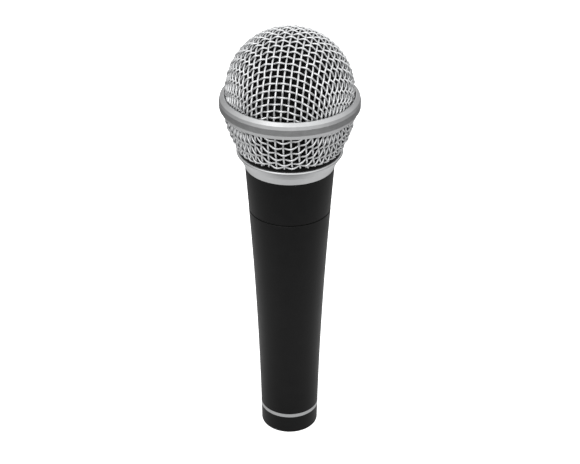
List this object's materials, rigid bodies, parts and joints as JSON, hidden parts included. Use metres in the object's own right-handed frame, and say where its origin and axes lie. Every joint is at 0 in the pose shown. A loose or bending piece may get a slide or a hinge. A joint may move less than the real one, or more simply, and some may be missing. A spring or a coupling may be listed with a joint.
{
  "type": "dynamic microphone",
  "caption": "Handheld vocal microphone: flared black handle, ball grille of woven wire with a silver band and foot ring, screw-off head, sprung cartridge and a cable socket in the tail.",
  "frame": {"origin": "centre of the flat ring-shaped end of the tail, at the mouth of the cable socket", "axes": "+Z along the axis from the tail to the grille, -Y to the front, +X to the right seen from the front"},
  "size_m": [0.052, 0.052, 0.1716],
  "materials": {
    "black_paint": "satin",
    "silver_paint": "satin",
    "black_plastic": "satin",
    "dark_foam": "matte",
    "bare_alloy": "satin",
    "nylon": "satin",
    "case_plastic": "satin",
    "felt": "matte",
    "soft_iron": "satin",
    "nickel": "gloss",
    "film": "gloss",
    "copper_wire": "satin",
    "rubber": "matte",
    "board": "satin",
    "contact": "satin",
    "red_sleeve": "satin",
    "dark_sleeve": "satin"
  },
  "bodies": {
    "handle": {"tail_cap": "black_paint", "tail_ring": "silver_paint", "handle_tube": "black_paint", "upper_barrel": "black_paint", "thread_sleeve": "bare_alloy", "xlr_insert": "black_plastic", "xlr_pin_1": "contact", "xlr_pin_2": "contact", "xlr_pin_3": "contact", "lock_screw": "soft_iron", "ground_tab": "contact", "hot_lead": "red_sleeve", "cold_lead": "dark_sleeve", "shock_mount": "rubber", "lower_isolator": "rubber"},
    "head_washer": {"head_gasket": "nylon"},
    "grille_head": {"upper_grille": "silver_paint", "lower_grille": "silver_paint", "grille_band": "silver_paint", "grille_base_ring": "silver_paint", "mesh_seat_ring": "black_plastic", "upper_foam_liner": "dark_foam", "lower_foam_liner": "dark_foam"},
    "cartridge": {"cartridge_housing": "case_plastic", "rear_chamber": "case_plastic", "front_cap": "bare_alloy", "cloth_screen": "felt", "rear_felt": "felt", "yoke": "soft_iron", "magnet": "nickel", "pole_piece": "soft_iron", "spacer_ring": "case_plastic", "clamp_ring": "case_plastic", "terminal_board": "board", "solder_tags": "contact"},
    "moving_coil": {"voice_coil": "copper_wire", "diaphragm": "film"}
  },
  "joints": [
    {"name": "head_rise", "type": "slide", "parent": "handle", "child": "head_washer", "axis": [0, 0, 1], "range_m": [0, 0.005]},
    {"name": "head_unscrew", "type": "hinge", "parent": "head_washer", "child": "grille_head", "pos_m": [0, 0, 0.1208], "axis": [0, 0, 1], "range_deg": [0, 1800]},
    {"name": "cartridge_float", "type": "slide", "parent": "handle", "child": "cartridge", "axis": [0, 0, 1], "range_m": [-0.0008, 0.0008], "stiffness_N_per_m": 4000, "deforming": ["shock_mount", "lower_isolator", "hot_lead", "cold_lead"]},
    {"name": "coil_travel", "type": "slide", "parent": "cartridge", "child": "moving_coil", "axis": [0, 0, 1], "range_m": [-0.0003, 0.0003], "stiffness_N_per_m": 300, "deforming": ["diaphragm"]}
  ],
  "couplings": [
    {"joint": "head_rise", "follows": "head_unscrew", "m_per_rad": 0.00015915}
  ]
}
